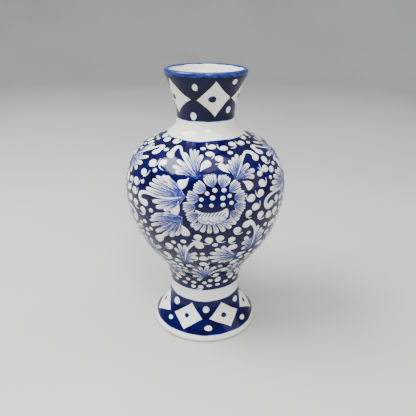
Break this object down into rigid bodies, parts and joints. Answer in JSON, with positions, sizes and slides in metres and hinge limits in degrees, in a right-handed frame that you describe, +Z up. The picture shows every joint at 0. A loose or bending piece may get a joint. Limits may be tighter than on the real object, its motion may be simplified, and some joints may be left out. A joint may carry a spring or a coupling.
{
  "type": "footed pottery vase",
  "caption": "Baluster vase on a flared hollow foot with a flared neck, white tin glaze and painted cobalt bands, diamonds, flowers and leaves.",
  "frame": {"origin": "middle of the ring that the foot stands on", "axes": "+Z up along the axis it was thrown on; -Y towards the side with the large flower and the front diamond of the neck"},
  "size_m": [0.1428, 0.1428, 0.24],
  "materials": {
    "fired_clay": "matte fired earthenware",
    "fired_slip": "matte fired slip",
    "tin_glaze": "glossy opaque white",
    "cobalt": "glossy dark blue in-glaze paint"
  },
  "bodies": {
    "root": {"foot_clay": "fired_clay", "belly_clay": "fired_clay", "neck_clay": "fired_clay", "slip_ring_foot": "fired_slip", "slip_ring_neck": "fired_slip", "glaze_outside": "tin_glaze", "glaze_inside": "tin_glaze", "glaze_underside": "tin_glaze", "cobalt_rim_line": "cobalt", "cobalt_neck_band": "cobalt", "cobalt_neck_dots": "cobalt", "cobalt_belly_ground": "cobalt", "cobalt_foot_band": "cobalt", "cobalt_foot_dots": "cobalt"}
  },
  "joints": []
}
